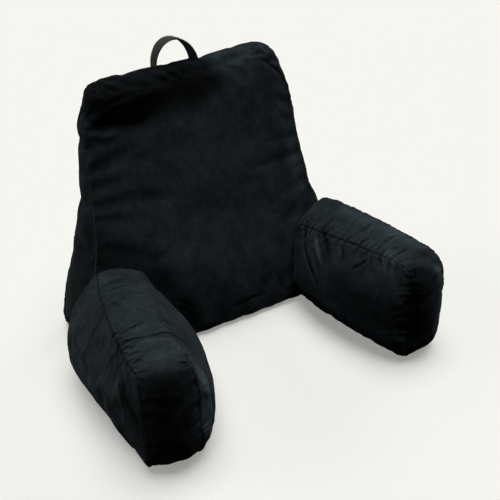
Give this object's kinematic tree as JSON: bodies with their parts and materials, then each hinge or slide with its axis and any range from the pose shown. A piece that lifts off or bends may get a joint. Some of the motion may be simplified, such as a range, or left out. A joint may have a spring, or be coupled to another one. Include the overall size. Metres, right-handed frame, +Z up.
{
  "type": "backrest pillow",
  "caption": "Filled backrest pillow with a wedge-shaped back, padded side arms and a carry handle on top, in plain black velvet.",
  "frame": {"origin": "on the floor, in the middle of the back cushion's flat underside", "axes": "+Z up, +X along the width of the back towards the sitter's left arm, -Y towards where the sitter faces"},
  "size_m": [0.7619, 0.6006, 0.622],
  "materials": {
    "black_velvet": "short-pile plush velvet, near black with a cool grey sheen at glancing angles",
    "handle_strap": "flat strap folded from the same cloth, edge-stitched"
  },
  "bodies": {
    "root": {"back_cushion": "black_velvet", "arm_left": "black_velvet", "arm_right": "black_velvet", "carry_handle": "handle_strap"}
  },
  "joints": []
}
